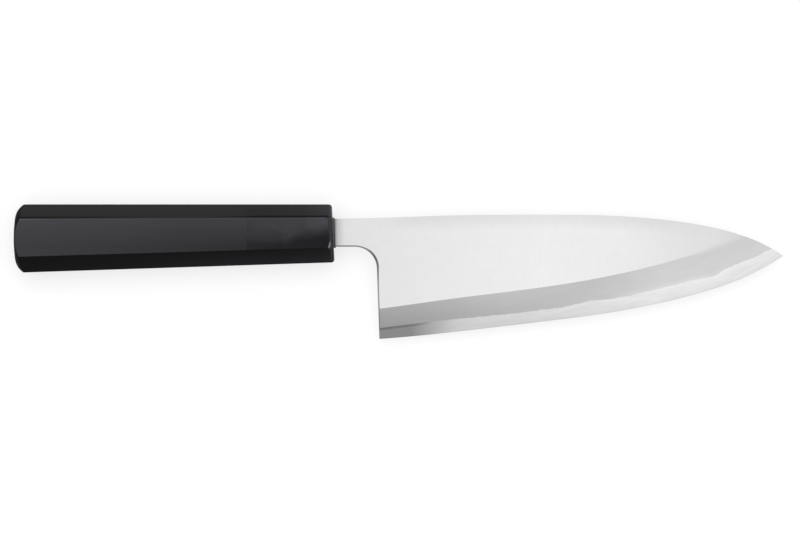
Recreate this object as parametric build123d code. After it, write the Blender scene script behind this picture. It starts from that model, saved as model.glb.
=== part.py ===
from build123d import *
import os
from math import cos, hypot, radians, sin, sqrt, tan

# Deba knife with one bevel, for the right hand. It lies on its hollow back, with X towards the tip, Y to
# the spine and Z out of the bevelled face. While it is built, X is zero at the handle's mouth, Y is zero on
# the middle line of the tang, and Z is zero on the flat rim of the blade's back.

# Blade, as seen on its bevelled face
blade_length = 165.0
heel_height = 49.4
neck_length = 18.3
neck_height = 11.4
spine_rise = 1.65
tip_drop = 16.7
choil_radius = 9.0
heel_lean_degrees = 2.0
spine_end_degrees = 33.0

# Blade thickness
spine_thickness = 7.0
ridge_thickness = 4.8
bevel_height = 12.4
edge_land = 0.15
spine_ease = 0.35
choil_ease = 0.6

# Steel layer under the iron
steel_thickness = 1.35
steel_start = 7.5
steel_scarf = 4.0

# Hollow ground into the back
hollow_depth = 0.45
hollow_edge_rim = 2.6
hollow_spine_rim = 2.2

# Tang
tang_length = 95.0
tang_thickness = 6.0
tang_shoulder = 0.3
tang_end_height = 5.6
tang_end_thickness = 3.2

# Handle
handle_length = 130.8
handle_top = 11.55
front_height = 23.65
front_thickness = 18.6
front_upper_corner = 5.35
front_lower_corner = 6.05
butt_height = 27.9
butt_thickness = 20.8
butt_upper_corner = 5.9
butt_lower_corner = 6.45
front_lean_degrees = 2.6
front_round = 1.3
front_flats = 3
facet_ease = 0.4
butt_crown = 1.8
butt_round = 7.3
butt_margin = 0.3

# Ferrule, dowel, bedding and seal
ferrule_length = 35.7
ferrule_wall = 6.0
dowel_diameter = 14.6
tang_past_dowel = 19.0
bedding_gap = 0.4
seal_margin = 0.5
seal_depth = 1.8
seal_stand = 0.8
seal_corner = 0.8
seal_ease = 0.25

# How far every cutting shape runs past what it cuts
overrun = 5.0

# Spine: places along the blade from heel (0) to tip (1), with the climb to its top and the fall to the tip
heel_climb_share = 0.2
spine_climb_shares = ((0.16, 0.77), (0.40, 1.0))
spine_fall_shares = ((0.58, 0.028), (0.70, 0.12), (0.81, 0.28), (0.90, 0.515), (0.96, 0.765), (1.0, 1.0))

# Edge and bevel: place, lift of the edge from heel to tip, and bevel height, ridge thickness and lean of the
# flat against those at the heel. The last row lies past the tip. One more row, without its place, stands
# behind the seal of the handle's mouth.
behind_seal_shares = (-0.055, 1.0, 1.0, 1.0)
bevel_shares = (
    (0.0, 0.0, 1.0, 1.0, 1.0),
    (0.10, 0.041, 1.07, 0.97, 0.93),
    (0.20, 0.093, 1.11, 0.93, 0.89),
    (0.40, 0.207, 1.13, 0.82, 0.81),
    (0.60, 0.341, 1.23, 0.71, 0.72),
    (0.75, 0.497, 1.31, 0.61, 0.65),
    (0.87, 0.675, 1.39, 0.53, 0.60),
    (0.95, 0.852, 1.40, 0.52, 0.60),
    (1.0, 1.0, 1.40, 0.52, 0.60),
    (1.04, 1.14, 1.40, 0.52, 0.60),
)

# Weld line: place along the blade and thickness of the steel there
weld_shares = (
    (0.0, 1.24),
    (0.06, 1.36),
    (0.12, 1.30),
    (0.18, 1.24),
    (0.27, 1.13),
    (0.35, 0.97),
    (0.43, 0.92),
    (0.51, 1.07),
    (0.57, 0.98),
    (0.64, 0.79),
    (0.70, 0.85),
    (0.76, 0.83),
    (0.81, 0.56),
    (0.87, 0.68),
    (0.92, 0.66),
    (1.0, 0.60),
)

# Hollow of the back: place along the blade, width and depth
hollow_shares = (
    (0.03, 0.12, 0.05),
    (0.05, 0.45, 0.30),
    (0.09, 0.78, 0.70),
    (0.16, 0.97, 0.95),
    (0.30, 1.0, 1.0),
    (0.50, 1.0, 1.0),
    (0.68, 0.97, 0.85),
    (0.80, 0.85, 0.55),
    (0.86, 0.55, 0.30),
    (0.89, 0.15, 0.05),
)

# Lines that several pieces share
tip_x = neck_length + blade_length
neck_bottom = -neck_height / 2
spine_top = neck_height / 2 + spine_rise
heel_spine = neck_height / 2 + spine_rise * heel_climb_share
heel_bottom = heel_spine - heel_height
tip_y = spine_top - tip_drop
flat_slope = (spine_thickness - ridge_thickness) / (heel_height - bevel_height)
axis_z = tang_shoulder + tang_thickness / 2
tang_height = neck_height - 2 * tang_shoulder
front_bottom = handle_top - front_height
butt_middle = handle_top - butt_height / 2
dowel_length = tang_length - ferrule_wall - tang_past_dowel


def along(share):
    """X of a place between the heel (0) and the tip (1)."""
    return neck_length + blade_length * share


def edge_y(share):
    """Y of the cutting edge for a share of its lift from heel to tip."""
    return heel_bottom + (tip_y - heel_bottom) * share


def across(x, y=0.0, z=0.0):
    """Plane square to X, whose own axes run along Y and Z."""
    return Plane(origin=(x, y, z), x_dir=(0, 1, 0), z_dir=(1, 0, 0))


def spine_curve():
    """Spine from inside the handle's mouth to the tip."""
    points = [(-seal_depth, neck_height / 2), (neck_length, heel_spine)]
    points += [(along(x), neck_height / 2 + spine_rise * climb) for x, climb in spine_climb_shares]
    points += [(along(x), spine_top - tip_drop * fall) for x, fall in spine_fall_shares]
    end = (cos(radians(spine_end_degrees)), -sin(radians(spine_end_degrees)))
    return Spline(*points, tangents=[(1, 0), end])


def bevel_rows():
    """Rows of the bevel, each led by its X, from behind the seal to past the tip."""
    rows = [(-seal_depth - overrun, *behind_seal_shares)]
    return rows + [(along(place), *shares) for place, *shares in bevel_shares]


def edge_curve():
    """Line of the cutting edge, from behind the heel to past the tip."""
    return Spline(*[(x, edge_y(lift)) for x, lift, *_ in bevel_rows()])


def y_on(curve, x):
    """Y where an outline curve passes X."""
    ruler = Line((x, heel_bottom - overrun), (x, spine_top + overrun))
    return (curve & ruler).Y


def blade_outline():
    """Outline of blade and neck, seen on the bevelled side."""
    heel_run = (neck_bottom - heel_bottom) * tan(radians(heel_lean_degrees))
    corner = (neck_length - heel_run, neck_bottom)
    start = (-seal_depth, neck_height / 2)
    back = Polyline(start, (-seal_depth, neck_bottom), corner, (neck_length, heel_bottom))
    edge = edge_curve().trim((neck_length, heel_bottom), (tip_x, tip_y))
    face = make_face([spine_curve(), edge, back])
    choil = face.vertices().sort_by_distance((*corner, 0))[0]
    return fillet(choil, choil_radius)


def above(low_points, high_points):
    """Solid above the straight-lined surface that joins two curves."""
    surface = Face.make_surface_from_curves(Spline(*low_points), Spline(*high_points))
    return extrude(surface, amount=heel_height, dir=(0, 0, 1))


def above_flat():
    """What the flat of the blade leaves off. It thins towards the ridge and towards the tip."""
    low, high = heel_bottom - overrun, spine_top + overrun
    low_points, high_points = [], []
    for x, lift, height_share, thickness_share, lean_share in bevel_rows():
        ridge_y = edge_y(lift) + bevel_height * height_share
        ridge_z = ridge_thickness * thickness_share
        slope = flat_slope * lean_share
        low_points.append((x, low, ridge_z + slope * (low - ridge_y)))
        high_points.append((x, high, ridge_z + slope * (high - ridge_y)))
    return above(low_points, high_points)


def above_bevel():
    """What the bevel leaves off. Its lines rise from the edge through the ridge."""
    near_points, far_points = [], []
    for x, lift, height_share, thickness_share, _ in bevel_rows():
        slope = (ridge_thickness * thickness_share - edge_land) / (bevel_height * height_share)
        near_points.append((x, edge_y(lift) - overrun, edge_land - slope * overrun))
        far_points.append((x, edge_y(lift) + heel_height, edge_land + slope * heel_height))
    return above(near_points, far_points)


def back_hollow():
    """Shallow dish ground into the back, inside its flat rim."""
    edge, spine = edge_curve(), spine_curve()
    sections = []
    for x, width_share, depth_share in hollow_shares:
        low = y_on(edge, along(x)) + hollow_edge_rim
        high = y_on(spine, along(x)) - hollow_spine_rim
        half = (high - low) / 2 * width_share
        depth = hollow_depth * depth_share
        arc = ThreePointArc((-half, 0), (0, depth), (half, 0))
        below = Polyline(arc @ 1, (half, -overrun), (-half, -overrun), arc @ 0)
        sections.append(across(along(x), (low + high) / 2) * make_face([arc, below]))
    return loft(sections)


def under_weld():
    """Space of the steel layer: up to the wavy weld, from a scarf at the neck to past the tip."""
    points = [(along(x), steel_thickness * thickness) for x, thickness in weld_shares]
    first, last = points[0], points[-1]
    scarf = (steel_start, -overrun)
    weld = Spline((steel_start + steel_scarf, first[1]), *points, (last[0] + overrun, last[1]))
    rest = Polyline(weld @ 1, (last[0] + overrun, -overrun), scarf, (steel_start, 0), weld @ 0)
    side = Plane(origin=(0, spine_top + overrun, 0), x_dir=(1, 0, 0), z_dir=(0, -1, 0))
    return extrude(side * make_face([weld, rest]), spine_top - heel_bottom + 2 * overrun)


def between(first, last):
    """Solid with flat sides between two outlines, whose edges are parallel, corner to corner."""
    outlines = [Polyline(*first, close=True), Polyline(*last, close=True)]
    for i in range(len(first)):
        outlines.append(Polyline(first[i - 1], first[i], last[i], last[i - 1], close=True))
    return Solid(Shell([make_face(outline).face() for outline in outlines]))


def tang_corners(x, gap):
    """Corners of the tang's section at X, grown by a gap on every side."""
    share = -x / tang_length
    y = (tang_height + (tang_end_height - tang_height) * share) / 2 + gap
    z = (tang_thickness + (tang_end_thickness - tang_thickness) * share) / 2 + gap
    return [(x, y, axis_z + z), (x, -y, axis_z + z), (x, -y, axis_z - z), (x, y, axis_z - z)]


def tang_shape(gap):
    """Tapered tang from the mouth's seal to its end, grown by a gap on every side."""
    return between(tang_corners(-seal_depth, gap), tang_corners(-tang_length - gap, gap))


def handle_corners(x, inset=0.0):
    """Octagon of the handle at X, inset on every side. Its spine side runs level to the butt."""
    share = -x / handle_length
    top = handle_top - inset
    bottom = handle_top - front_height - (butt_height - front_height) * share + inset
    z = (front_thickness + (butt_thickness - front_thickness) * share) / 2 - inset
    upper = front_upper_corner + (butt_upper_corner - front_upper_corner) * share - inset * (2 - sqrt(2))
    lower = front_lower_corner + (butt_lower_corner - front_lower_corner) * share - inset * (2 - sqrt(2))
    half = [(top, z - upper), (top - upper, z), (bottom + lower, z), (bottom, z - lower)]
    ring = half + [(y, -z) for y, z in reversed(half)]
    return [(x, y, axis_z + z) for y, z in ring]


def butt_dome():
    """Turned shape that rounds the handle's butt: a low crown with a round shoulder."""
    corner = min(butt_upper_corner, butt_lower_corner)
    reach = hypot(butt_height / 2, butt_thickness / 2 - corner) + butt_margin
    crown_radius = (reach**2 + butt_crown**2) / (2 * butt_crown)
    crown = RadiusArc((-handle_length, 0), (butt_crown - handle_length, reach), crown_radius)
    rest = Polyline(crown @ 1, (overrun, reach), (overrun, 0), crown @ 0)
    face = make_face([crown, rest])
    shoulder = face.vertices().sort_by_distance((crown @ 1))[0]
    turned = revolve(fillet(shoulder, butt_round), Axis.X)
    return Location((0, butt_middle, axis_z)) * turned


def front_x(y):
    """X of the handle's leaning front at Y."""
    return tan(radians(front_lean_degrees)) * (front_bottom - y)


def ahead_of_mouth(stand):
    """Space ahead of the handle's leaning front, which starts a given stand in front of it."""
    low, high = front_bottom - overrun, handle_top + overrun
    slant = [(stand + front_x(y), y) for y in (low, high)]
    face = make_face(Polyline(*slant, (neck_length, high), (neck_length, low), close=True))
    return extrude(Plane(origin=(0, 0, -butt_thickness)) * face, 2 * butt_thickness)


def under_front_flat(turn):
    """Space inside a ring of flats that eases the front: they touch its round where it has turned so far."""
    start = -front_round * (1 - tan(turn / 2))
    outlines = []
    for stand in (-handle_length - overrun, front_round):
        corners = handle_corners(0, (stand - start) * tan(turn))
        outlines.append([(stand + front_x(y), y, z) for _, y, z in corners])
    return between(*outlines)


def behind(x):
    """Space behind X, all round the handle."""
    around = 2 * butt_height
    return Location((x - handle_length / 2, 0, 0)) * Box(handle_length, around, around)


def blade_blank():
    """Whole blade of both metals, ground, hollowed and with its spine and choil eased."""
    blank = extrude(blade_outline(), spine_thickness + overrun) - above_flat() - above_bevel()
    spine = [e for e in blank.edges() if e.length > blade_length and (e @ 0.5).Y > neck_bottom]
    blank = fillet(spine, spine_ease)
    choil = []
    for edge in blank.edges():
        middle = edge @ 0.5
        if middle.X < neck_length and middle.Y < neck_bottom / 2 and middle.Z > ridge_thickness:
            choil.append(edge)
    return fillet(choil, choil_ease) - back_hollow()


def handle_blank():
    """Whole outer shape of grip and ferrule: a tapered octagon with a domed butt and an eased front."""
    blank = between(handle_corners(-handle_length - overrun), handle_corners(overrun))
    facets = [e for e in blank.edges() if e.length > handle_length]
    blank = (fillet(facets, facet_ease) & butt_dome()) - ahead_of_mouth(0)
    for flat in range(front_flats):
        blank = blank & under_front_flat(radians(90) * (flat + 1) / (front_flats + 1))
    return blank


def seal_blank():
    """Bead round the neck, before the neck is taken out: it stands a little ahead of the leaning front."""
    width, height = neck_height + 2 * seal_margin, spine_thickness + 2 * seal_margin
    section = across(-seal_depth, 0, spine_thickness / 2) * RectangleRounded(width, height, seal_corner)
    bead = extrude(section, seal_depth + overrun) - ahead_of_mouth(seal_stand)
    return fillet(bead.faces().sort_by(Axis.X)[-1].edges(), seal_ease)


def dowel_shape():
    """Round dowel across the seam of ferrule and grip."""
    dowel = Cylinder(dowel_diameter / 2, dowel_length)
    return across(-ferrule_wall - dowel_length / 2, 0, axis_z) * dowel


def build_pieces():
    """All pieces in the frame they are drawn in, by name."""
    blade = blade_blank()
    steel = blade & under_weld()
    tang = tang_shape(0)
    iron = (blade - steel) + tang
    socket = tang_shape(bedding_gap)
    seal = seal_blank()
    handle = handle_blank() - socket
    dowel = dowel_shape()
    grip_side = behind(-ferrule_length)
    return {
        "blade_iron": iron,
        "blade_steel": steel,
        "handle_body": (handle & grip_side) - dowel,
        "ferrule": handle - grip_side - dowel - seal,
        "core_dowel": dowel - socket,
        "tang_bedding": socket - tang - seal,
        "mouth_seal": seal - iron,
    }


def main():
    """Writes every piece with the origin under the middle of the whole knife."""
    middle = Vector((tip_x - handle_length) / 2, (handle_top + heel_bottom) / 2)
    lift = butt_thickness / 2 - axis_z
    place = Location((-middle.X, -middle.Y, lift))
    os.makedirs("parts", exist_ok=True)
    for name, piece in build_pieces().items():
        export_step(place * piece, f"parts/{name}.step")


if __name__ == "__main__":
    main()
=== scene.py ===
"""Dresses a deba knife: an octagonal black handle with a horn ferrule, and a blade of two metals."""
import logging
from contextlib import contextmanager
from dataclasses import dataclass, field
from enum import Enum
from math import atan2, cos, hypot, pi, radians, sin, sqrt, tan
from typing import Callable, Iterator, Sequence, Union

import bmesh
import bpy
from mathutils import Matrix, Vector


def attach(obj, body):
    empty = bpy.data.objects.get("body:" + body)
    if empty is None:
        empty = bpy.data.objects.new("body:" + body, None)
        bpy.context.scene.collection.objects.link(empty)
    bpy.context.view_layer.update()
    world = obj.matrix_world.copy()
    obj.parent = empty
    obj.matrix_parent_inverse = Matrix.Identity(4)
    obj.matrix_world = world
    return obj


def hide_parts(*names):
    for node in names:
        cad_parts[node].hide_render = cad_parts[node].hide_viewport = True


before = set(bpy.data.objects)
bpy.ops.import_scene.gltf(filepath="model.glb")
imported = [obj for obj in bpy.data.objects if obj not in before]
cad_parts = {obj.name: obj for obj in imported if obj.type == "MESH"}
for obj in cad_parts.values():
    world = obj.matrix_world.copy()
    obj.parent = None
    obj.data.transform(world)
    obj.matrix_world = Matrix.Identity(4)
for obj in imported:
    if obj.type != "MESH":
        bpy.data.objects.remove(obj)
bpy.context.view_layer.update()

BODY = "root"
MM = 0.001
TOUCHING = 0.001 * MM

log = logging.getLogger("deba")


class Slot(Enum):
    """Material slots of the record, one for each modelled piece."""

    WOOD = "black_wood"
    HORN = "black_horn"


class Pick(Enum):
    """What edit mode selects."""

    POINT = "VERT"
    EDGE = "EDGE"


def tone(level: float) -> float:
    """Turns a display grey from 0 to 255 into linear light.

    Args:
        level: Grey as it should look on a screen.

    Returns:
        The same grey as a linear value.
    """
    share = level / 255
    return share / 12.92 if share <= 0.04045 else ((share + 0.055) / 1.055) ** 2.4


Value = Union["Wire", float, int, Sequence[float]]
Rows = Sequence[tuple[float, float]]
Step = tuple[float, float]


@dataclass(frozen=True)
class Grain:
    """Size of a noise along each axis in millimetres, and number and strength of its finer layers."""

    x: float = 1.0
    y: float = 1.0
    z: float = 1.0
    detail: float = 2.0
    rough: float = 0.5


def operators(operation: str) -> tuple[Callable, Callable]:
    """Makes an operator on wires and its reflected form.

    Args:
        operation: What their Math node works out.

    Returns:
        The operator and its reflected form.
    """

    def plain(wire: "Wire", other: Value) -> "Wire":
        """The operation on a wire and another value."""
        return wire.math(operation, wire, other)

    def reflected(wire: "Wire", other: Value) -> "Wire":
        """The operation on another value and a wire."""
        return wire.math(operation, other, wire)

    return plain, reflected


class Wire:
    """One output of a node. Sums with it add Math nodes."""

    __add__, __radd__ = operators("ADD")
    __sub__, __rsub__ = operators("SUBTRACT")
    __mul__, __rmul__ = operators("MULTIPLY")
    __truediv__, __rtruediv__ = operators("DIVIDE")
    __pow__, __rpow__ = operators("POWER")

    def __init__(self, graph: "Graph", socket: bpy.types.NodeSocket) -> None:
        """Keeps an output and the node tree that it belongs to."""
        self.graph = graph
        self.socket = socket

    def math(self, operation: str, *values: Value) -> "Wire":
        """Adds a Math node on the values."""
        return self.graph.add("ShaderNodeMath", {"operation": operation}, dict(enumerate(values)))

    def __abs__(self) -> "Wire":
        """Size without its sign."""
        return self.math("ABSOLUTE", self)

    def at_least(self, other: Value) -> "Wire":
        """The greater of this and another value."""
        return self.math("MAXIMUM", self, other)

    def clamp(self) -> "Wire":
        """The same value, kept between 0 and 1."""
        return self.graph.add("ShaderNodeClamp", {}, {"Value": self}, "Result")

    def rise(self, low: float, high: float) -> "Wire":
        """Soft step.

        Args:
            low: Value at which the step is still 0.
            high: Value from which it is 1. It may lie below low, for a falling step.

        Returns:
            A value from 0 to 1.
        """
        inputs = {"Value": self, "From Min": low, "From Max": high}
        return self.graph.add("ShaderNodeMapRange", {"interpolation_type": "SMOOTHSTEP"}, inputs, "Result")


def from_corner(across: Wire, along: Wire) -> Wire:
    """Distance from a corner at 0, where a value below 0 counts as 0."""
    return (across.at_least(0.0) ** 2.0 + along.at_least(0.0) ** 2.0) ** 0.5


class Graph:
    """Node tree of one finish."""

    def __init__(self, tree: bpy.types.NodeTree) -> None:
        """Takes over a node tree and empties it."""
        self.tree = tree
        tree.nodes.clear()

    def add(self, kind: str, settings: dict, inputs: dict, output: Union[str, int] = 0) -> Wire:
        """Adds any node.

        Args:
            kind: Type of the node.
            settings: Its own settings, set first. "stops" gives a ramp's places and colours.
            inputs: Values or links of its sockets, by name or number.
            output: Name or number of the output to go on with.

        Returns:
            That output.
        """
        node = self.tree.nodes.new(kind)
        for name, value in settings.items():
            if name == "stops":
                self._set_stops(node.color_ramp, value)
            else:
                setattr(node, name, value)
        for name, value in inputs.items():
            if isinstance(value, Wire):
                self.tree.links.new(value.socket, node.inputs[name])
            else:
                node.inputs[name].default_value = value
        return Wire(self, node.outputs[output]) if len(node.outputs) else Wire(self, None)

    @staticmethod
    def _set_stops(ramp: bpy.types.ColorRamp, stops: Sequence[tuple[float, Sequence[float]]]) -> None:
        """Sets a ramp's places and colours.

        Args:
            ramp: Ramp with fewer stops than that, or as many.
            stops: Place and colour of each stop.
        """
        while len(ramp.elements) < len(stops):
            ramp.elements.new(1.0)
        for element, (place, colour) in zip(ramp.elements, stops):
            element.position = place
            element.color = colour

    def place(self) -> tuple[Wire, Wire, Wire]:
        """Place on the knife in millimetres.

        Returns:
            X, Y and Z.
        """
        point = self.add("ShaderNodeTexCoord", {}, {}, "Object")
        scaled = self.add("ShaderNodeVectorMath", {"operation": "SCALE"}, {0: point, "Scale": 1 / MM})
        return self.split(scaled)

    def facing(self) -> tuple[Wire, Wire, Wire]:
        """Direction that the surface faces.

        Returns:
            X, Y and Z of its normal.
        """
        return self.split(self.add("ShaderNodeNewGeometry", {}, {}, "Normal"))

    def split(self, vector: Wire) -> tuple[Wire, Wire, Wire]:
        """Parts of a vector."""
        node = self.add("ShaderNodeSeparateXYZ", {}, {0: vector}).socket.node
        return tuple(Wire(self, socket) for socket in node.outputs)

    def join(self, x: Value, y: Value, z: Value) -> Wire:
        """Vector of three values."""
        return self.add("ShaderNodeCombineXYZ", {}, {0: x, 1: y, 2: z})

    def noise(self, grain: Grain, x: Value, y: Value, z: Value) -> Wire:
        """Soft noise about 0, from about -1 to 1.

        Args:
            grain: Its size and finer layers.
            x: Place along X in millimetres.
            y: The same along Y.
            z: The same along Z. A number instead of a place picks one flat layer of the noise.

        Returns:
            The noise.
        """
        place = self.join(x / grain.x, y / grain.y, z / grain.z)
        inputs = {"Vector": place, "Scale": 1.0, "Detail": grain.detail, "Roughness": grain.rough}
        return (self.add("ShaderNodeTexNoise", {}, inputs) - 0.5) * 2.0

    def along(self, x: Wire, rows: Rows) -> Wire:
        """Value that follows a short table along X.

        Args:
            x: Place in millimetres.
            rows: Places and values.

        Returns:
            The value between the rows.
        """
        low, high = rows[0][0], rows[-1][0]
        values = [value for _, value in rows]
        least, span = min(values), max(values) - min(values)
        stops = []
        for place, value in rows:
            share = (value - least) / span
            stops.append(((place - low) / (high - low), (share, share, share, 1.0)))
        ramp = self.add("ShaderNodeValToRGB", {"stops": stops}, {0: (x - low) / (high - low)})
        return ramp * span + least

    def greys(self, x: Wire, rows: Rows) -> Wire:
        """Linear light that follows a short table of display greys along X."""
        return self.along(x, [(place, tone(level)) for place, level in rows])

    def mix(self, share: Value, first: Value, second: Value) -> Wire:
        """Blend of two values: the first at 0, the second at 1."""
        return self.add("ShaderNodeMix", {"data_type": "FLOAT"}, {0: share, 2: first, 3: second})

    def blend(self, share: Value, first: Value, second: Value) -> Wire:
        """Blend of two colours: the first at 0, the second at 1."""
        return self.add("ShaderNodeMix", {"data_type": "RGBA"}, {0: share, 6: first, 7: second}, 2)

    def bump(self, height: Wire, depth: float) -> Wire:
        """Fine relief.

        Args:
            height: Height from 0 to 1, or about 0.
            depth: Real depth of one unit of height, in millimetres.

        Returns:
            The changed normal.
        """
        inputs = {"Strength": 1.0, "Distance": depth * MM, "Height": height}
        return self.add("ShaderNodeBump", {}, inputs)

    def surface(self, **sockets: Value) -> None:
        """Ends the tree in one Principled shader.

        Args:
            sockets: Values or links by socket name, with spaces written as underscores.
        """
        inputs = {name.replace("_", " "): value for name, value in sockets.items()}
        shader = self.add("ShaderNodeBsdfPrincipled", {}, inputs)
        self.add("ShaderNodeOutputMaterial", {}, {0: shader})


@dataclass(frozen=True)
class Finish:
    """A finish that can be put on a piece."""

    name: str

    def lay(self, graph: Graph) -> None:
        """Builds the finish's nodes."""
        raise NotImplementedError

    def material(self) -> bpy.types.Material:
        """Makes the finish's material, or finds it where it is made already.

        Returns:
            The material, with its node tree built.
        """
        made = bpy.data.materials.get(self.name)
        if made is None:
            made = bpy.data.materials.new(self.name)
            made.use_nodes = True
            self.lay(Graph(made.node_tree))
        return made

    def dress(self, piece: bpy.types.Object) -> None:
        """Puts the finish on every slot of a piece.

        Args:
            piece: Piece to dress.
        """
        if not piece.material_slots:
            piece.data.materials.append(None)
        for slot in piece.material_slots:
            slot.material = self.material()


@dataclass(frozen=True)
class BladeFinish(Finish):
    """What both metals of the blade share: lines in millimetres, grinding and painted reflection in display
    greys.

    The blade gives the lines of its spine and edge, which it reads off the solids. A start, end, band, top
    or foot gives the two values between which a soft step rises or falls.
    """

    spine: Rows = ()
    edge: Rows = ()
    ridge: Rows = ((-8, -14.8), (0, -13.3), (21, -10.9), (41, -8.9), (58, -6.4), (74, -4.0), (90, -0.7),
                   (102, 2.1), (115, 5.4), (123, 8.2), (133, 11.9), (141, 14.5), (157, 20.0))
    weld: Rows = ((-8, -23.0), (2.5, -21.7), (12.7, -20.4), (22.9, -19.3), (31, -18.55), (41.2, -17.6),
                  (49.4, -16.8), (57.5, -15.6), (65.7, -14.7), (73.8, -12.9), (77.9, -11.85), (85.4, -11.3),
                  (94.2, -9.8), (103.6, -7.55), (111.8, -5.5), (119.9, -3.5), (128.1, -2.0), (130.1, -1.1),
                  (132.2, 0.6), (139.1, 3.6), (145.9, 6.15), (151.3, 8.9), (157, 11.6))
    # Iron and steel greys, darker at the heel and lighter towards the tip, and their lift up the bevel:
    # painted reflection.
    iron: Rows = ((-8, 162), (10, 170), (42, 188), (82, 196), (106, 209), (148, 208))
    iron_lift: Rows = ((-8, 0.2), (45, 0.15), (80, -0.03), (148, -0.05))
    iron_gain: float = 1.03
    iron_halo: float = 0.07
    steel: Rows = ((-8, 135), (5, 137), (24, 201), (66, 216), (106, 231), (157, 229))
    steel_lift: float = 0.11
    steel_gain: float = 1.04
    scale: float = 112.0
    scale_line: Rows = ((-8, 1.0), (4, 0.9), (14, 0.0))
    scale_top: Step = (0.15, -0.05)
    scale_foot: Step = (-1.3, -0.55)
    edge_shade: float = 0.1
    edge_band: Step = (0.5, 0.1)
    graze: tuple = (0.6, 0.6, 0.6, 1.0)
    halo_band: Step = (2.4, 0.0)
    halo_start: Step = (78.0, 100.0)
    halo_end: Step = (136.0, 128.0)
    lift_start: Step = (20.0, 40.0)
    gain_end: Step = (30.0, 90.0)
    weld_blur: float = 0.12
    jag_depth: float = 0.75
    jag_start: Step = (2.0, 18.0)
    haze_share: float = 0.05
    fine_share: float = 0.05
    streak_share: float = 0.12
    streak_start: Step = (6.0, 24.0)
    jag: Grain = Grain(x=2.6, detail=4.0, rough=0.65)
    haze: Grain = Grain(x=9.0, y=2.2, detail=3.0)
    fine: Grain = Grain(x=18.0, y=0.24, detail=3.0, rough=0.6)
    streak: Grain = Grain(x=9.0, y=1.3, rough=0.55)

    def bevel(self, graph: Graph, x: Wire, y: Wire) -> Wire:
        """Level of the ground bevel: matt iron above the weld line, a brighter strip of steel below it.

        Args:
            graph: Node tree to build in.
            x: Place along the blade.
            y: Place across the blade.

        Returns:
            The level, as linear light.
        """
        ridge, weld, edge = (graph.along(x, rows) for rows in (self.ridge, self.weld, self.edge))
        up = y - edge
        haze = self.haze_share * graph.noise(self.haze, x, up, 3.0)
        fine = self.fine_share * graph.noise(self.fine, x, up, 5.0)
        streak = self.streak_share * graph.noise(self.streak, x, up, 1.0) * x.rise(*self.streak_start)
        above = y - weld + self.jag_depth * graph.noise(self.jag, x, 0.0, 7.0) * x.rise(*self.jag_start)
        climb = (above / (ridge - weld)).clamp() - 0.5
        # Painted reflection: iron darker at the heel, lighter towards the tip, changing up the bevel.
        iron = graph.greys(x, self.iron) * (1.0 + climb * graph.along(x, self.iron_lift))
        halo = above.rise(*self.halo_band) * x.rise(*self.halo_start) * x.rise(*self.halo_end)
        iron = iron * (1.0 + haze + fine) * (self.iron_gain + self.iron_halo * halo)
        climb = (up / (weld - edge)).clamp() - 0.5
        # Painted reflection: steel darker at the heel, lighter towards the tip and up the bevel.
        steel = graph.greys(x, self.steel) * (1.0 + self.steel_lift * climb * x.rise(*self.lift_start))
        steel = steel * (1.0 + streak + fine)
        scaled = above.rise(*self.scale_top) * above.rise(*self.scale_foot) * graph.along(x, self.scale_line)
        steel = graph.mix(scaled, steel, tone(self.scale))
        steel = steel * (1.0 - self.edge_shade * up.rise(*self.edge_band))
        steel = steel * graph.mix(x.rise(*self.gain_end), self.steel_gain, 1.0)
        return graph.mix(above.rise(-self.weld_blur, self.weld_blur), steel, iron)


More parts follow.
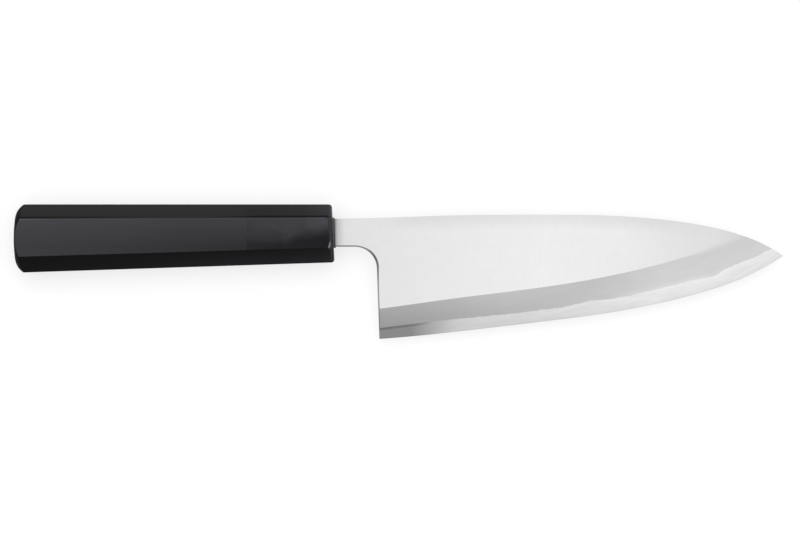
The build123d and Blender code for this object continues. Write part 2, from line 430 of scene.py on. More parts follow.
@dataclass(frozen=True)
class IronFinish(BladeFinish):
    """Soft iron: a satin flat with painted reflection, a matt ground bevel and painted shade on the choil's
    rim.
    """

    name: str = "satin_iron"
    # Greys of the flat, lighter in the middle and darker towards both ends: painted reflection.
    flat: Rows = ((-28, 224), (10, 232), (60, 239), (92, 236), (130, 223), (143, 212))
    flat_cloud: float = 0.03
    flat_scratch: float = 0.03
    flat_cross: float = 0.025
    root_shade: float = 0.2
    root_grey: float = 0.72
    root_start: Step = (-26.6, -24.9)
    root_end: Step = (-26.2, -21.4)
    spine_shade: float = 0.1
    spine_band: Step = (7.0, 0.5)
    spine_start: Step = (-14.0, 12.0)
    spine_end: Step = (132.0, 100.0)
    ground_slope: Step = (-0.075, -0.105)
    ground_top: Step = (0.4, 0.6)
    soft_ridge: Step = (1.0, -1.7)
    soft_start: Step = (116.0, 128.0)
    # Painted shade: sideways-facing surfaces, such as the walls of the spine and choil, get this darker grey.
    wall: float = 178.0
    wall_top: Step = (0.35, 0.1)
    wall_foot: Step = (-0.6, -0.3)
    wall_cross: float = 0.08
    wall_cloud: float = 0.05
    heel_x: float = -7.95
    heel_y: float = -27.46
    lean: float = 0.0349
    choil_radius: float = 9.0
    choil_y: float = 1.5
    # Painted shade on the choil's rounded rim: its width and grey, listed by height across the blade.
    rim_width: Rows = ((-28, 0.5), (-6, 0.6), (5, 1.0), (8.5, 0.9), (10.6, 0.28))
    rim_level: Rows = ((-28, 120), (-10, 152), (-4, 148), (6, 98), (10.5, 140))
    rim_blur: Step = (1.15, 0.75)
    flat_roughness: float = 0.34
    flat_unevenness: float = 0.03
    ground_roughness: float = 0.46
    ground_unevenness: float = 0.05
    wall_roughness: float = 0.08
    relief: float = 0.0012
    cloud: Grain = Grain(x=7.0, y=7.0, z=7.0, detail=4.0, rough=0.6)
    scratch: Grain = Grain(x=0.9, y=6.0, detail=3.0, rough=0.6)
    cross: Grain = Grain(x=0.3, y=7.0, z=7.0)

    def lay(self, graph: Graph) -> None:
        """Builds the iron's nodes.

        Args:
            graph: Node tree to build in.
        """
        x, y, z = graph.place()
        _, facing_y, facing_z = graph.facing()
        cloud = graph.noise(self.cloud, x, y, z)
        scratch = graph.noise(self.scratch, x + y, x - y, 0.0)
        cross = graph.noise(self.cross, x, y, z)
        near_spine = (graph.along(x, self.spine) - y).rise(*self.spine_band)
        near_spine = near_spine * x.rise(*self.spine_end) * x.rise(*self.spine_start)
        root = graph.mix(x.rise(*self.root_start), self.root_shade, self.root_grey)
        root = root + (1.0 - self.root_grey) * x.rise(*self.root_end)
        # Painted reflection on the flat: its greys rise and fall along the blade.
        flat = 1.0 + self.flat_cloud * cloud + self.flat_scratch * scratch + self.flat_cross * cross
        flat = graph.greys(x, self.flat) * root * (flat - self.spine_shade * near_spine)
        ground = facing_y.rise(*self.ground_slope) * facing_z.rise(*self.ground_top)
        softened = (y - graph.along(x, self.ridge)).rise(*self.soft_ridge) * facing_z.rise(*self.ground_top)
        ground = graph.mix(x.rise(*self.soft_start), ground, softened)
        shade = graph.mix(ground, flat, self.bevel(graph, x, y))
        # Painted shade on the choil's rounded rim.
        shade = graph.mix(self._rim(graph, x, y), shade, graph.greys(y, self.rim_level))
        # Painted shade on sideways-facing surfaces.
        wall = facing_z.rise(*self.wall_top) * facing_z.rise(*self.wall_foot)
        wall_shade = tone(self.wall) * (1.0 + self.wall_cross * cross + self.wall_cloud * cloud)
        shade = graph.mix(wall, shade, wall_shade)
        flat_rough = self.flat_roughness + self.flat_unevenness * cloud
        ground_rough = self.ground_roughness + self.ground_unevenness * scratch
        rough = graph.mix(ground, flat_rough, ground_rough) + self.wall_roughness * wall
        graph.surface(Base_Color=shade, Metallic=1.0, Specular_Tint=self.graze, Roughness=rough,
                      Normal=graph.bump(cross, self.relief))

    def _rim(self, graph: Graph, x: Wire, y: Wire) -> Wire:
        """Painted shade on the rounded rim along the choil.

        Args:
            graph: Node tree to build in.
            x: Place along the blade.
            y: Place across the blade.

        Returns:
            1 on the rim and 0 away from it.
        """
        behind = x - self.heel_x + (y - self.heel_y) * self.lean + self.choil_radius
        inside = from_corner(behind, y - self.choil_y) - self.choil_radius
        return (inside / graph.along(y, self.rim_width)).rise(*self.rim_blur)


@dataclass(frozen=True)
class SteelFinish(BladeFinish):
    """Hard steel: a bright honed strip along the edge, and a polished hollow back."""

    name: str = "honed_steel"
    hollow: float = 216.0
    hollow_across: float = 0.14
    hollow_cloud: float = 0.05
    rim: float = 240.0
    rim_cloud: float = 0.02
    back_z: float = 7.1
    back_top: Step = (-0.4, -0.6)
    hollow_start: Step = (0.02, 0.10)
    rim_roughness: float = 0.16
    roughness: float = 0.3
    unevenness: float = 0.04
    relief: float = 0.0015
    across: Grain = Grain(x=0.6, y=20.0, z=20.0, detail=4.0, rough=0.65)
    cloud: Grain = Grain(x=14.0, y=14.0)
    drawn: Grain = Grain(x=14.0, y=0.6, rough=0.6)

    def lay(self, graph: Graph) -> None:
        """Builds the steel's nodes.

        Args:
            graph: Node tree to build in.
        """
        x, y, z = graph.place()
        facing_z = graph.facing()[2]
        across = graph.noise(self.across, x, y, z)
        cloud = graph.noise(self.cloud, x, y, 2.0)
        drawn = graph.noise(self.drawn, x, y, 1.0)
        in_hollow = (z - self.back_z).rise(*self.hollow_start)
        rim = tone(self.rim) * (1.0 + self.rim_cloud * cloud)
        hollow = tone(self.hollow) * (1.0 + self.hollow_across * across + self.hollow_cloud * cloud)
        below = facing_z.rise(*self.back_top)
        shade = graph.mix(below, self.bevel(graph, x, y), graph.mix(in_hollow, rim, hollow))
        back_rough = graph.mix(in_hollow, self.rim_roughness, self.roughness + self.unevenness * across)
        rough = graph.mix(below, self.roughness + self.unevenness * drawn, back_rough)
        graph.surface(Base_Color=shade, Metallic=1.0, Specular_Tint=self.graze, Roughness=rough,
                      Normal=graph.bump(graph.mix(below, drawn, across), self.relief))


@dataclass(frozen=True)
class HandleFinish(Finish):
    """What wood and horn share: painted highlights on eased edges, painted shade on sides towards the edge
    side.

    Places are in millimetres, levels are linear light. A start, end, top or foot gives the two values
    between which a soft step rises or falls, and a way those of the direction that a side faces.
    """

    top_y: float = 27.46
    mouth_x: float = -26.25
    front_corner: float = 5.35
    corner_growth: float = 0.0042
    # Painted highlight along the eased edge between the central and the upper side, brightest near the butt.
    catch: Rows = ((-157, 1.75), (-149, 1.7), (-141, 1.25), (-62, 1.25), (-26, 1.2))
    catch_foot: Step = (-0.75, -0.45)
    catch_top: Step = (0.1, -0.1)
    # Painted shade: a dark line just above that edge, strongest near the butt and the front, with the polish
    # left off it too.
    shade_line: Rows = ((-157, 0.7), (-141, 0.65), (-92, 0.0), (-76, 0.05), (-58, 0.75), (-26, 0.75))
    shade_line_foot: Step = (-0.05, 0.15)
    shade_line_top: Step = (1.0, 0.6)
    # Painted shade of the sides by the way they face: the upper side, the lower side towards the edge side,
    # and the flanks.
    upper: Rows = ((-157, 0.0055), (-68, 0.0062), (-57, 0.0035), (-38, 0.0065), (-30, 0.014))
    upper_lift: float = 0.11
    upper_way: Step = (0.3, 0.5)
    low_corner: float = 17.6
    low_growth: float = 0.0295
    lower_width: float = 6.2
    lower_high: Rows = ((-157, 0.0008), (-77, 0.0028), (-34, 0.0036), (-26, 0.006))
    lower_low: Rows = ((-157, 0.0036), (-110, 0.0054), (-65, 0.0115), (-45, 0.0115), (-26, 0.018))
    lower_way: Step = (-0.3, -0.5)
    lower_top: Step = (0.3, 0.5)
    flank: float = 0.012
    flank_way: Step = (0.85, 0.95)
    sheen: float = 0.3
    mirror: float = 0.05
    tint: tuple = (0.99, 0.935, 1.09)

    def sides(self, graph: Graph, central: Value) -> Wire:
        """Lays the painted shade and highlights of all sides round the central one.

        Args:
            graph: Node tree to build in.
            central: Level of the side that lies flat on top.

        Returns:
            The level everywhere.
        """
        x, y, _ = graph.place()
        facing_y = graph.facing()[1]
        above = self.above_edge(x, y)
        # Painted highlight just below the edge; painted shade on the upper side and on the dark line above
        # the edge.
        caught = above.rise(*self.catch_foot) * above.rise(*self.catch_top)
        upper = graph.along(x, self.upper) * (1.0 + self.upper_lift * above)
        upper = upper * (1.0 - self.shaded_dull_line(graph, x, y))
        central = central * graph.mix(caught, 1.0, graph.along(x, self.catch))
        level = graph.mix(facing_y.rise(*self.upper_way), central, upper)
        # Painted shade on the flanks, and on the lower side, which is lighter further from the central side.
        level = graph.mix(abs(facing_y).rise(*self.flank_way), level, self.flank)
        below = self.top_y - self.low_corner - self.low_growth * (self.mouth_x - x) - y
        share = (below / self.lower_width).clamp()
        lower = graph.mix(share, graph.along(x, self.lower_high), graph.along(x, self.lower_low))
        return graph.mix(self.shaded_side(graph), level, lower)

    def above_edge(self, x: Wire, y: Wire) -> Wire:
        """Distance across the knife from the edge between the central and the upper side."""
        return y - (self.top_y - self.front_corner) + self.corner_growth * (self.mouth_x - x)

    def shaded_dull_line(self, graph: Graph, x: Wire, y: Wire) -> Wire:
        """How much painted shade and dullness the narrow line above that edge has, from 0 to 1."""
        above = self.above_edge(x, y)
        return above.rise(*self.shade_line_foot) * above.rise(*self.shade_line_top) * graph.along(x, self.shade_line)

    def coat(self, graph: Graph, x: Wire, y: Wire) -> Wire:
        """Strength of the polish, which leaves out the shaded side and the dark, dull line."""
        return self.sheen * (1.0 - self.shaded_side(graph)) * (1.0 - self.shaded_dull_line(graph, x, y))

    def shaded_side(self, graph: Graph) -> Wire:
        """1 on the side that slopes down towards the edge side."""
        _, facing_y, facing_z = graph.facing()
        return facing_y.rise(*self.lower_way) * facing_z.rise(*self.lower_top)

    def tinted(self, graph: Graph, level: Wire) -> Wire:
        """Colour of a level, with the handle's slight violet."""
        return graph.join(*(level * share for share in self.tint))


@dataclass(frozen=True)
class BlackWoodFinish(HandleFinish):
    """Close-grained black wood, oiled and rubbed to a low sheen, with short pale streaks along it."""

    name: str = "oiled_black_wood"
    # Painted shade on the central side: lighter near its upper edge, darker towards the edge side.
    high: Rows = ((-157, 0.034), (-110, 0.029), (-88, 0.0252), (-62, 0.0262))
    low: Rows = ((-157, 0.0232), (-110, 0.0172), (-62, 0.0088))
    high_y: float = 20.3
    fall: float = 10.2
    fibre_share: float = 0.3
    figure_share: float = 0.09
    pore_shade: float = 0.4
    pore_start: Step = (0.4, 0.65)
    streak_share: float = 0.5
    streak_start: Step = (0.5, 0.75)
    roughness: float = 0.42
    figure_roughness: float = 0.05
    pore_roughness: float = 0.06
    dome_roughness: float = 0.3
    coat_roughness: float = 0.38
    relief: float = 0.012
    fibre_height: float = 0.3
    pore_depth: float = 0.8
    dome_way: Step = (-0.16, -0.3)
    end_level: float = 0.011
    end_shade: float = 0.8
    end_top: Step = (0.1, 0.5)
    heart_y: float = 2.0
    heart_z: float = -14.0
    ring_waver: float = 0.7
    ring_share: float = 0.9
    end_pore_shade: float = 0.6
    end_pore_start: Step = (0.25, 0.6)
    fibre: Grain = Grain(x=11.0, y=0.24, z=0.24, detail=3.0, rough=0.6)
    figure: Grain = Grain(x=45.0, y=2.6, z=2.6)
    pore: Grain = Grain(x=3.2, y=0.16, z=0.16, detail=1.0)
    streak: Grain = Grain(x=4.5, y=0.3, z=0.3, detail=1.0)
    waver: Grain = Grain(x=6.0, y=6.0)
    ring: Grain = Grain(x=0.9, detail=3.0, rough=0.6)
    end_pore: Grain = Grain(x=0.2, y=0.2, detail=1.0)

    def lay(self, graph: Graph) -> None:
        """Builds the wood's nodes.

        Args:
            graph: Node tree to build in.
        """
        x, y, z = graph.place()
        facing_x, _, facing_z = graph.facing()
        fibre = graph.noise(self.fibre, x, y, z)
        figure = graph.noise(self.figure, x, y, z)
        pore = graph.noise(self.pore, x, y, z).rise(*self.pore_start)
        streak = graph.noise(self.streak, x, y, z).rise(*self.streak_start)
        # Painted shade: the central side darkens towards the edge side.
        share = ((self.high_y - y) / self.fall).clamp()
        central = graph.mix(share, graph.along(x, self.high), graph.along(x, self.low))
        grain = 1.0 + self.fibre_share * fibre + self.figure_share * figure
        grain = grain - self.pore_shade * pore + self.streak_share * streak
        dome = facing_x.rise(*self.dome_way)
        end = self._end_grain(graph, y, z) * (1.0 - self.end_shade * facing_z.rise(*self.end_top))
        level = graph.mix(dome, self.sides(graph, central) * grain, end)
        rough = self.roughness + self.figure_roughness * figure + self.pore_roughness * pore
        height = self.fibre_height * fibre - self.pore_depth * pore
        graph.surface(Base_Color=self.tinted(graph, level), Specular_IOR_Level=self.mirror,
                      Roughness=rough + self.dome_roughness * dome,
                      Coat_Weight=self.coat(graph, x, y) * (1.0 - dome), Coat_Roughness=self.coat_roughness,
                      Normal=graph.bump(height, self.relief))

    def _end_grain(self, graph: Graph, y: Wire, z: Wire) -> Wire:
        """Level of the butt, with growth rings from a centre below it and open pores.

        Args:
            graph: Node tree to build in.
            y: Place across the knife.
            z: Height over the table.

        Returns:
            The level, as linear light.
        """
        waver = graph.noise(self.waver, y, z, 2.0)
        reach = ((y - self.heart_y) ** 2.0 + (z - self.heart_z) ** 2.0) ** 0.5
        ring = graph.noise(self.ring, reach + self.ring_waver * waver, 0.0, 3.0)
        pore = graph.noise(self.end_pore, y, z, 0.0).rise(*self.end_pore_start)
        return self.end_level * (1.0 + self.ring_share * ring - self.end_pore_shade * pore)


@dataclass(frozen=True)
class BlackHornFinish(HandleFinish):
    """Polished black horn: smoky, slightly translucent clouds, fine layers, and painted shade and glint."""

    name: str = "polished_black_horn"
    # Greys of the central side: lighter above a wavy border, darker below it towards the edge side; partly
    # smoky clouds in the horn, partly painted shade.
    clear: Rows = ((-62, 0.0275), (-38, 0.03), (-32, 0.041), (-26, 0.041))
    smoky_shade: Rows = ((-62, 0.009), (-50, 0.0085), (-26, 0.006))
    blur: Rows = ((-62, 0.12), (-46, 0.27), (-26, 0.3))
    border: Rows = ((-62, 14.2), (-50, 13.8), (-26, 17.8))
    border_waver: float = 2.2
    border_blur: Step = (-1.0, 1.0)
    cloud_waver: float = 4.8
    cloud_share: float = 0.16
    layer_waver: float = 0.9
    layer_share: float = 0.14
    front_lean: float = 0.0454
    front_low_y: float = 3.81
    central_low_y: float = 9.86
    # Painted shade on the eased front: greys by distance behind the front, dark with a lighter band between.
    front_rows: Rows = ((0.5, 0.02), (0.85, 0.034), (1.15, 0.034), (1.45, 0.014), (2, 0.02))
    front_width: float = 1.75
    front_blur: float = 0.1
    corner_radius: float = 1.6
    corner_blur: Step = (-0.1, 0.15)
    corner_start: Step = (-0.01, 0.01)
    corner_margin: float = 0.05
    roughness: float = 0.26
    cloud_roughness: float = 0.05
    smoky_coat: float = 0.3
    clear_coat: float = 0.7
    coat_start: Step = (12.0, 16.0)
    coat_roughness: float = 0.14
    relief: float = 0.002
    glint: float = 0.16
    glint_y: float = 10.95
    glint_reach: Step = (1.9, 0.5)
    glint_width: Step = (0.45, 0.1)
    glint_start: Step = (12.0, 15.0)
    glint_behind: float = 1.5
    glint_slant: float = 0.22
    glint_taper: float = 0.08
    glint_root_y: float = 11.3
    warp: Grain = Grain(x=10.0, y=10.0, z=10.0)
    cloud: Grain = Grain(x=8.0, y=5.0, z=5.0, detail=3.0)
    layer: Grain = Grain(x=12.0, y=0.6, z=0.6, detail=3.0, rough=0.6)

    def lay(self, graph: Graph) -> None:
        """Builds the horn's nodes.

        Args:
            graph: Node tree to build in.
        """
        x, y, z = graph.place()
        warp = graph.noise(self.warp, x, y, z)
        cloud = graph.noise(self.cloud, x + self.cloud_waver * warp, y, z)
        layer = graph.noise(self.layer, x, y + self.layer_waver * warp, z)
        # Darker below the wavy border: partly smoky horn, partly painted shade.
        clear = y - graph.along(x, self.border) + self.border_waver * cloud
        clear = (clear * graph.along(x, self.blur)).rise(*self.border_blur)
        central = graph.mix(clear, graph.along(x, self.smoky_shade), graph.along(x, self.clear))
        behind = self.mouth_x - self.front_lean * (y - self.front_low_y) - x
        # Painted shade on the eased front and round the central side's front corners.
        front = graph.along(behind, self.front_rows)
        level = graph.mix(self._rounding(behind, y), self.sides(graph, central), front)
        level = level * (1.0 + self.cloud_share * cloud + self.layer_share * layer)
        level = level + self.glint * self._glint(behind, y, z)
        clouded = graph.mix(z.rise(*self.coat_start), 1.0, self.smoky_coat + self.clear_coat * clear)
        graph.surface(Base_Color=self.tinted(graph, level), Specular_IOR_Level=self.mirror,
                      Roughness=self.roughness + self.cloud_roughness * cloud,
                      Coat_Weight=self.coat(graph, x, y) * clouded, Coat_Roughness=self.coat_roughness,
                      Normal=graph.bump(layer, self.relief))

    def _rounding(self, behind: Wire, y: Wire) -> Wire:
        """The eased front, with the central side's corners rounded into it.

        Args:
            behind: Distance behind the front.
            y: Place across the knife.

        Returns:
            1 on the eased front and 0 behind it.
        """
        radius = self.corner_radius
        high, low = self.top_y - self.front_corner, self.central_low_y
        ahead = self.front_width + radius - behind
        over = abs(y - (high + low) / 2.0) - (high - low) / 2.0 + radius
        corner = (from_corner(ahead, over) - radius).rise(*self.corner_blur) * ahead.rise(*self.corner_start)
        corner = corner * over.rise(radius + self.corner_margin, radius - self.corner_margin)
        front = behind.rise(self.front_width + self.front_blur, self.front_width - self.front_blur)
        return corner.at_least(front)

    def _glint(self, behind: Wire, y: Wire, z: Wire) -> Wire:
        """Thin bright glint on the eased front, beside the central side's lower corner.

        Args:
            behind: Distance behind the front.
            y: Place across the knife.
            z: Height over the table.

        Returns:
            1 on the glint and 0 away from it.
        """
        rise = y - self.glint_root_y
        across = abs(behind - self.glint_behind + self.glint_slant * rise) + self.glint_taper * rise
        beside = abs(y - self.glint_y).rise(*self.glint_reach)
        return across.rise(*self.glint_width) * beside * z.rise(*self.glint_start)


@dataclass(frozen=True)
class SealerFinish(Finish):
    """Cured sealer: a grey bead, dull and slightly uneven, that darkens towards its lip."""

    name: str = "cured_sealer"
    rows: Rows = ((-28.1, 0.05), (-27, 0.06), (-26.7, 0.13), (-26.3, 0.012), (-25.7, 0.16))
    lump_share: float = 0.5
    green: float = 0.97
    roughness: float = 0.5
    lump_roughness: float = 0.1
    relief: float = 0.05
    lump: Grain = Grain(x=0.8, y=0.8, z=0.8, detail=3.0, rough=0.6)

    def lay(self, graph: Graph) -> None:
        """Builds the sealer's nodes.

        Args:
            graph: Node tree to build in.
        """
        x, y, z = graph.place()
        lump = graph.noise(self.lump, x, y, z)
        level = graph.along(x, self.rows) * (1.0 + self.lump_share * lump)
        rough = self.roughness + self.lump_roughness * lump
        graph.surface(Base_Color=graph.join(level, level * self.green, level), Roughness=rough,
                      Normal=graph.bump(lump, self.relief))


@dataclass(frozen=True)
class ResinFinish(Finish):
    """Amber resin round the tang, cloudy with fine bubbles."""

    name: str = "amber_resin"
    dark: tuple = (0.19, 0.09, 0.03, 1.0)
    light: tuple = (0.36, 0.2, 0.08, 1.0)
    cloud_blur: Step = (-0.6, 0.6)
    bubble_start: Step = (0.4, 0.6)
    roughness: float = 0.3
    bubble_roughness: float = 0.2
    relief: float = 0.03
    cloud: Grain = Grain(x=5.0, y=5.0, z=5.0, detail=3.0, rough=0.55)
    bubble: Grain = Grain(x=0.5, y=0.5, z=0.5, detail=1.0)

    def lay(self, graph: Graph) -> None:
        """Builds the resin's nodes.

        Args:
            graph: Node tree to build in.
        """
        x, y, z = graph.place()
        cloud = graph.noise(self.cloud, x, y, z)
        bubble = graph.noise(self.bubble, x, y, z).rise(*self.bubble_start)
        colour = graph.blend(cloud.rise(*self.cloud_blur), self.dark, self.light)
        graph.surface(Base_Color=colour, Roughness=self.roughness + self.bubble_roughness * bubble,
                      Normal=graph.bump(bubble, self.relief))


@dataclass(frozen=True)
class PaleWoodFinish(Finish):
    """Plain pale dowel wood with growth rings along its axis."""

    name: str = "pale_dowel_wood"
    dark: tuple = (0.38, 0.24, 0.13, 1.0)
    light: tuple = (0.62, 0.45, 0.28, 1.0)
    middle: float = 0.5
    ring_share: float = 0.35
    ring_waver: float = 4.0
    fibre_share: float = 0.2
    roughness: float = 0.62
    fibre_roughness: float = 0.08
    relief: float = 0.02
    waver: Grain = Grain(x=30.0, y=6.0, z=6.0)
    ring: Grain = Grain(y=1.1, detail=1.0)
    fibre: Grain = Grain(x=7.0, y=0.25, z=0.25, detail=3.0, rough=0.6)

    def lay(self, graph: Graph) -> None:
        """Builds the dowel's nodes.

        Args:
            graph: Node tree to build in.
        """
        x, y, z = graph.place()
        waver = graph.noise(self.waver, x, y, z)
        ring = graph.noise(self.ring, 0.0, y + self.ring_waver * waver, 4.0)
        fibre = graph.noise(self.fibre, x, y, z)
        share = (self.middle + self.ring_share * ring + self.fibre_share * fibre).clamp()
        graph.surface(Base_Color=graph.blend(share, self.dark, self.light),
                      Roughness=self.roughness + self.fibre_roughness * fibre,
                      Normal=graph.bump(fibre, self.relief))


class Workpiece:
    """A piece that is shaped in edit mode, step by step."""

    def __init__(self, shape: bpy.types.Object) -> None:
        """Takes an object as the piece."""
        self.shape = shape
        self.pick = Pick.POINT

    @staticmethod
    def _clear() -> None:
        """Deselects all objects."""
        bpy.ops.object.select_all(action="DESELECT")

    @classmethod
    def block(cls, name: str, low: Sequence[float], high: Sequence[float]) -> "Workpiece":
        """Adds a block between two corners in millimetres.

        Args:
            name: Name of the piece.
            low: Lowest corner.
            high: Highest corner.

        Returns:
            The new piece.
        """
        cls._clear()
        middle = [(a + b) / 2 * MM for a, b in zip(low, high)]
        size = [(b - a) * MM for a, b in zip(low, high)]
        bpy.ops.mesh.primitive_cube_add(size=1.0, location=middle, scale=size)
        return cls._placed(name)

    @classmethod
    def turned(cls, name: str, profile: Rows, y: float, z: float, steps: int) -> "Workpiece":
        """Spins a profile once round an axis along X, in millimetres.

        Args:
            name: Name of the piece.
            profile: X and radius of its points, from axis to axis.
            y: Y of the axis.
            z: Z of the axis.
            steps: Number of steps in the turn.

        Returns:
            The new piece.
        """
        cls._clear()
        start = Vector((profile[0][0], y + profile[0][1], z)) * MM
        bpy.ops.mesh.primitive_plane_add(size=MM, location=start)
        piece = cls._placed(name)
        with piece.editing(Pick.POINT):
            bpy.ops.mesh.select_all(action="SELECT")
            bpy.ops.mesh.merge(type="CENTER")
            for (x, r), (next_x, next_r) in zip(profile, profile[1:]):
                step = (Vector((next_x - x, next_r - r, 0.0)) * MM)[:]
                bpy.ops.mesh.extrude_region_move(TRANSFORM_OT_translate={"value": step})
            bpy.ops.mesh.select_all(action="SELECT")
            bpy.ops.mesh.spin(steps=steps, angle=2 * pi, center=(0.0, y * MM, z * MM), axis=(1.0, 0.0, 0.0))
            bpy.ops.mesh.select_all(action="SELECT")
            bpy.ops.mesh.remove_doubles(threshold=TOUCHING)
            bpy.ops.mesh.normals_make_consistent(inside=False)
        return piece

    @classmethod
    def _placed(cls, name: str) -> "Workpiece":
        """Names the new object and puts its place into its mesh.

        Args:
            name: Name of the piece.

        Returns:
            The piece.
        """
        shape = bpy.context.object
        shape.name = name
        shape.data.name = name
        bpy.ops.object.transform_apply(location=True, rotation=True, scale=True)
        return cls(shape)

    def copy(self, name: str) -> "Workpiece":
        """Copies the piece with its own mesh.

        Args:
            name: Name of the copy.

        Returns:
            The copy.
        """
        self._hold()
        bpy.ops.object.duplicate(linked=False)
        return self._placed(name)

    @classmethod
    def filled(cls, node: bpy.types.Object) -> "Workpiece":
        """Copies a piece of the frame and fills its hollows, so that it can cut a seat for itself.

        Args:
            node: The piece to copy.

        Returns:
            The filled copy.
        """
        copy = cls(node).copy(f"{node.name}_seat_cutter")
        with copy.editing(Pick.POINT):
            bpy.ops.mesh.select_all(action="SELECT")
            bpy.ops.mesh.remove_doubles(threshold=TOUCHING)
            bpy.ops.mesh.select_all(action="SELECT")
            bpy.ops.mesh.convex_hull(join_triangles=True)
            bpy.ops.mesh.normals_make_consistent(inside=False)
        return copy

    def _hold(self) -> None:
        """Selects this piece alone."""
        self._clear()
        self.shape.select_set(True)
        bpy.context.view_layer.objects.active = self.shape

    @contextmanager
    def editing(self, pick: Pick) -> Iterator[None]:
        """Edit mode on this piece, with nothing selected at first.

        Args:
            pick: What edit mode selects.
        """
        self.pick = pick
        self._hold()
        bpy.ops.object.mode_set(mode="EDIT")
        bpy.ops.mesh.select_mode(type=pick.value)
        bpy.ops.mesh.select_all(action="DESELECT")
        yield
        bpy.ops.object.mode_set(mode="OBJECT")

    def choose(self, test: Callable[[Vector, Vector], bool]) -> None:
        """Selects points or edges by place, in edit mode.

        Args:
            test: Takes an item's middle in millimetres, and an edge's direction or a point's normal.
        """
        bpy.ops.mesh.select_all(action="DESELECT")
        mesh = bmesh.from_edit_mesh(self.shape.data)
        for item in mesh.edges if self.pick is Pick.EDGE else mesh.verts:
            if self.pick is Pick.EDGE:
                first, last = (corner.co for corner in item.verts)
                middle, way = (first + last) / 2, (last - first).normalized()
            else:
                middle, way = item.co, item.normal
            item.select_set(test(middle / MM, way))
        mesh.select_flush_mode()
        bmesh.update_edit_mesh(self.shape.data)

    def weigh(self, weight: float) -> None:
        """Gives the selected edges a bevel weight, in edit mode.

        Args:
            weight: Share of the bevel's width, from 0 to 1.
        """
        mesh = bmesh.from_edit_mesh(self.shape.data)
        layer = mesh.edges.layers.float.get("bevel_weight_edge")
        if layer is None:
            layer = mesh.edges.layers.float.new("bevel_weight_edge")
        for edge in mesh.edges:
            if edge.select:
                edge[layer] = weight
        bmesh.update_edit_mesh(self.shape.data)

    def finish_with(self, kind: str, **settings: object) -> None:
        """Adds a modifier and applies it.

        Args:
            kind: Type of the modifier.
            settings: Its settings.
        """
        self._hold()
        bpy.ops.object.modifier_add(type=kind)
        modifier = self.shape.modifiers[-1]
        for name, value in settings.items():
            setattr(modifier, name, value)
        bpy.ops.object.modifier_apply(modifier=modifier.name)

    def carve(self, tool: "Workpiece", operation: str = "DIFFERENCE") -> None:
        """Cuts with another piece, which is used up."""
        self.finish_with("BOOLEAN", operation=operation, solver="EXACT", object=tool.shape)
        bpy.data.objects.remove(tool.shape, do_unlink=True)

    def smooth(self, degrees: float) -> None:
        """Smooth shading over edges up to an angle, with flats kept flat.

        Args:
            degrees: The angle.
        """
        self._hold()
        bpy.ops.object.shade_smooth_by_angle(angle=radians(degrees))
        self.finish_with("WEIGHTED_NORMAL", keep_sharp=True, weight=100)


